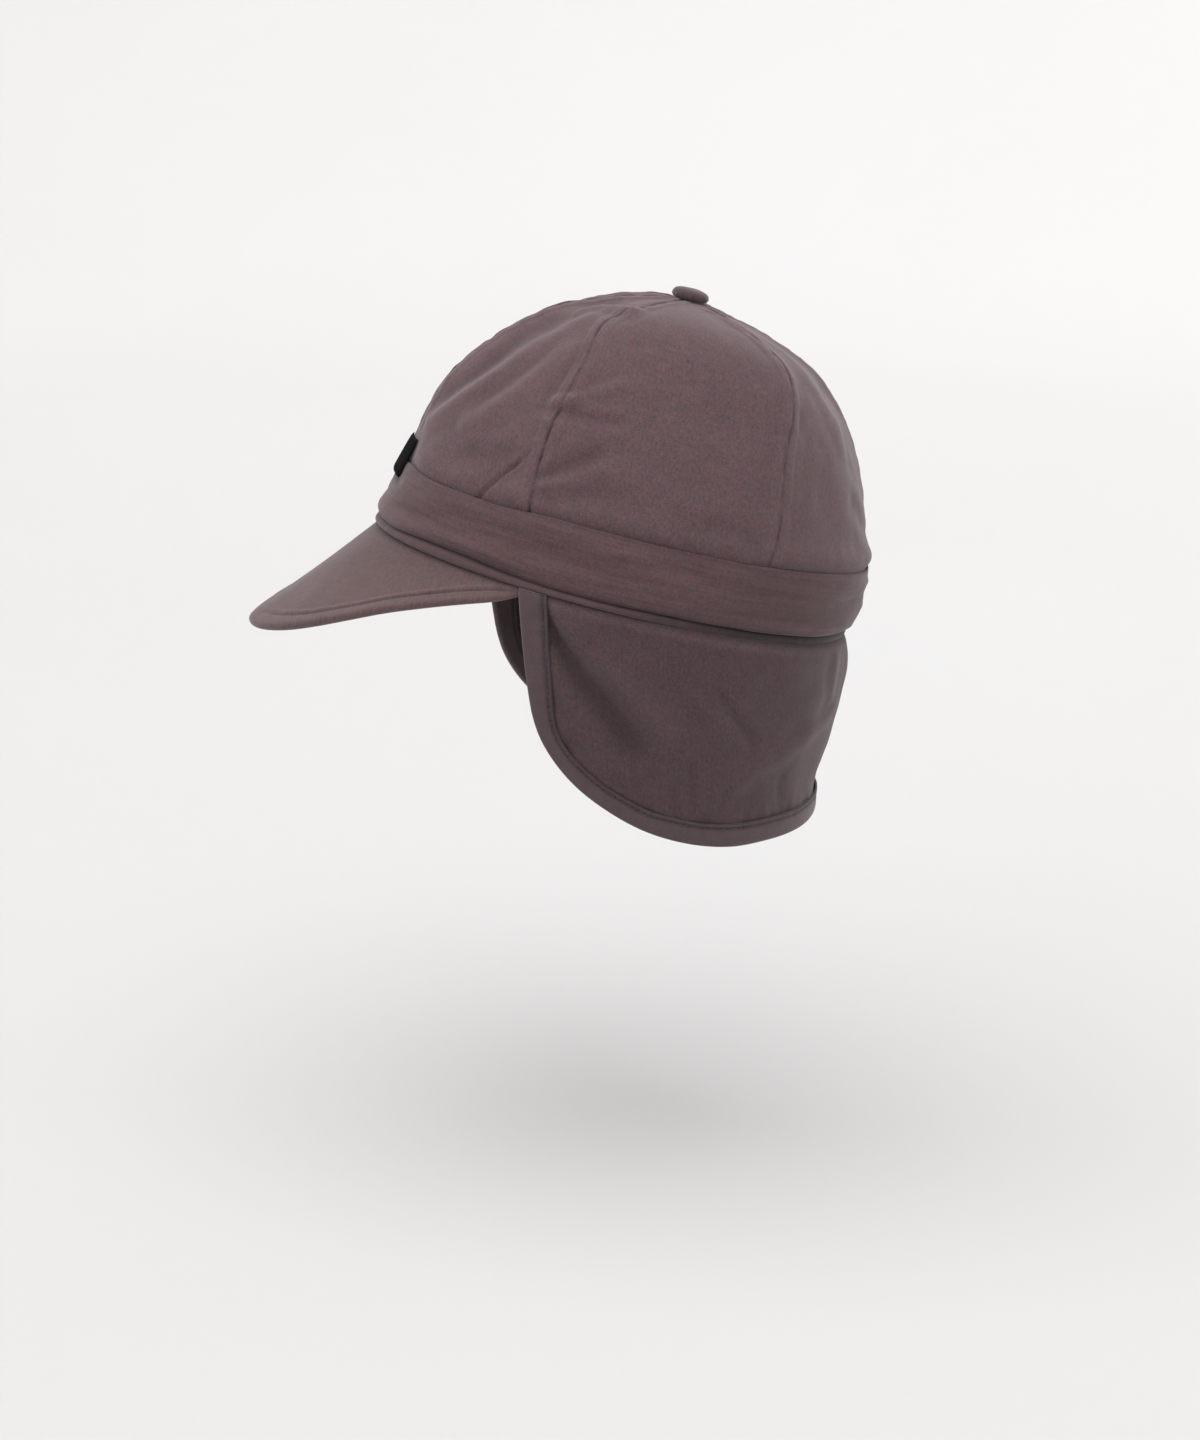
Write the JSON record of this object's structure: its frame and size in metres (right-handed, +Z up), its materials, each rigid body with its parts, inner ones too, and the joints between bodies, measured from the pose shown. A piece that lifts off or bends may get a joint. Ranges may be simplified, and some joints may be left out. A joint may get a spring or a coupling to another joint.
{
  "type": "cloth cap with peak and earflap",
  "caption": "Soft woven cap, as worn: panelled round crown with a covered button, folded band, short stiff peak and a wrap-around ear and neck flap with a bound edge.",
  "frame": {"origin": "centre of the head opening, in the seam where crown, peak and flap are sewn together", "axes": "+Z up as worn, -Y to the peak at the front, +X to the wearer's left"},
  "size_m": [0.1698, 0.2615, 0.2207],
  "materials": {
    "crown_cloth": "matt plum-brown cotton twill with a fine heather",
    "button_cloth": "matt plum-brown cotton twill, stretched over a disc",
    "band_cloth": "matt plum-brown cotton twill, folded",
    "piping_cloth": "matt plum-brown cotton twill, rolled at the seam",
    "peak_cloth": "matt plum-brown cotton twill, stretched over a stiff board",
    "flap_cloth": "matt plum-brown cotton twill",
    "binding_cloth": "matt plum-brown cotton twill tape, edge stitched",
    "label_cloth": "near-black woven patch, bare"
  },
  "bodies": {
    "root": {"crown_panel_front_left": "crown_cloth", "crown_panel_side_left": "crown_cloth", "crown_panel_back_left": "crown_cloth", "crown_panel_back_right": "crown_cloth", "crown_panel_side_right": "crown_cloth", "crown_panel_front_right": "crown_cloth", "crown_button": "button_cloth", "band": "band_cloth", "seam_piping": "piping_cloth", "peak": "peak_cloth", "earflap": "flap_cloth", "flap_binding": "binding_cloth", "front_label": "label_cloth"}
  },
  "joints": []
}
